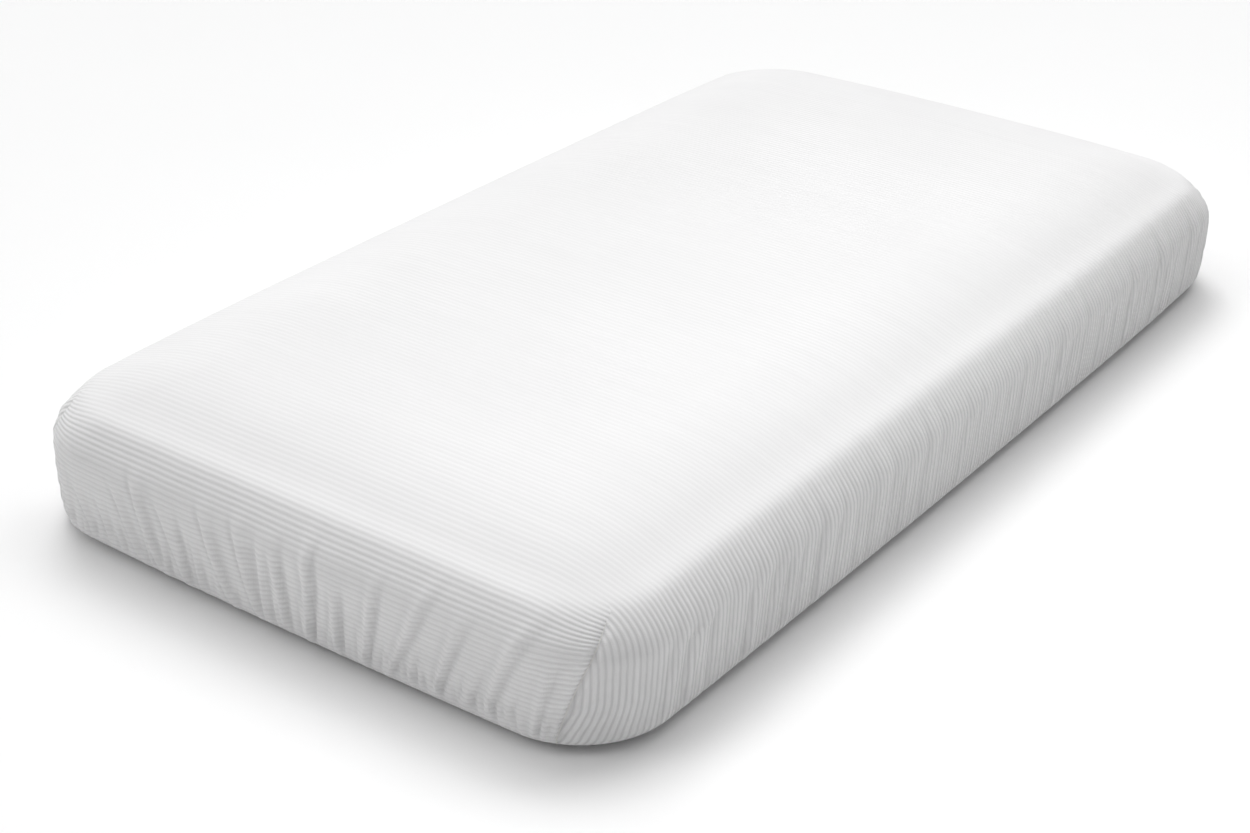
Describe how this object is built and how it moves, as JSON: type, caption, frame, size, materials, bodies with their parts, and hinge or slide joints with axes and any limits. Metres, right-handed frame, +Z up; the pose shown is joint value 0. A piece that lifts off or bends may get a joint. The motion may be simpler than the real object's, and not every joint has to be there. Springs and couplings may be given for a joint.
{
  "type": "memory foam mattress",
  "caption": "Cot-size memory foam mattress: foam layers in a fire sock and a zipped cover, dressed in a ribbed elastic-hemmed fitted sheet.",
  "frame": {"origin": "middle of the footprint, on the surface that the mattress lies on", "axes": "+Z up through the sleep surface, +Y along the length towards the end where the closed zip's slider stands, +X across the width"},
  "size_m": [0.712, 1.322, 0.16],
  "materials": {
    "support_foam": "matte",
    "foam_adhesive": "satin",
    "memory_foam": "matte",
    "fire_sock_knit": "matte",
    "sewing_thread": "satin",
    "cover_knit": "matte",
    "cover_binding": "matte",
    "cover_spacer_mesh": "matte",
    "zip_tape": "matte",
    "zip_teeth": "satin",
    "zip_metal": "satin",
    "label": "satin",
    "ribbed_sheet": "matte",
    "elastic": "matte"
  },
  "bodies": {
    "mattress": {"support_foam_core": "support_foam", "adhesive_film": "foam_adhesive", "memory_foam_layer": "memory_foam", "fire_sock": "fire_sock_knit", "fire_sock_closing_seam": "sewing_thread", "cover_top_panel": "cover_knit", "cover_top_seam": "cover_binding", "cover_side_band": "cover_knit", "cover_bottom_seam": "cover_binding", "cover_bottom_panel": "cover_spacer_mesh", "zip_tape_left": "zip_tape", "zip_tape_right": "zip_tape", "zip_teeth_left": "zip_teeth", "zip_teeth_right": "zip_teeth", "zip_bottom_stop": "zip_metal", "zip_top_stops": "zip_metal", "cover_care_label": "label", "fitted_sheet": "ribbed_sheet", "sheet_corner_seams": "ribbed_sheet", "sheet_hem_casing": "ribbed_sheet", "sheet_hem_elastic": "elastic", "sheet_hem_stitching": "sewing_thread", "sheet_care_label": "label"},
    "zip_slider": {"zip_slider": "zip_metal"},
    "zip_pull": {"zip_pull": "zip_metal"}
  },
  "joints": [
    {"name": "zip_slide", "type": "slide", "parent": "mattress", "child": "zip_slider", "axis": [0, 1, 0], "range_m": [-1, 0], "deforming": ["zip_teeth_left", "zip_teeth_right"]},
    {"name": "zip_pull_swing", "type": "hinge", "parent": "zip_slider", "child": "zip_pull", "pos_m": [0, 0.5103, 0.0023], "axis": [1, 0, 0], "range_deg": [0, 175]}
  ]
}
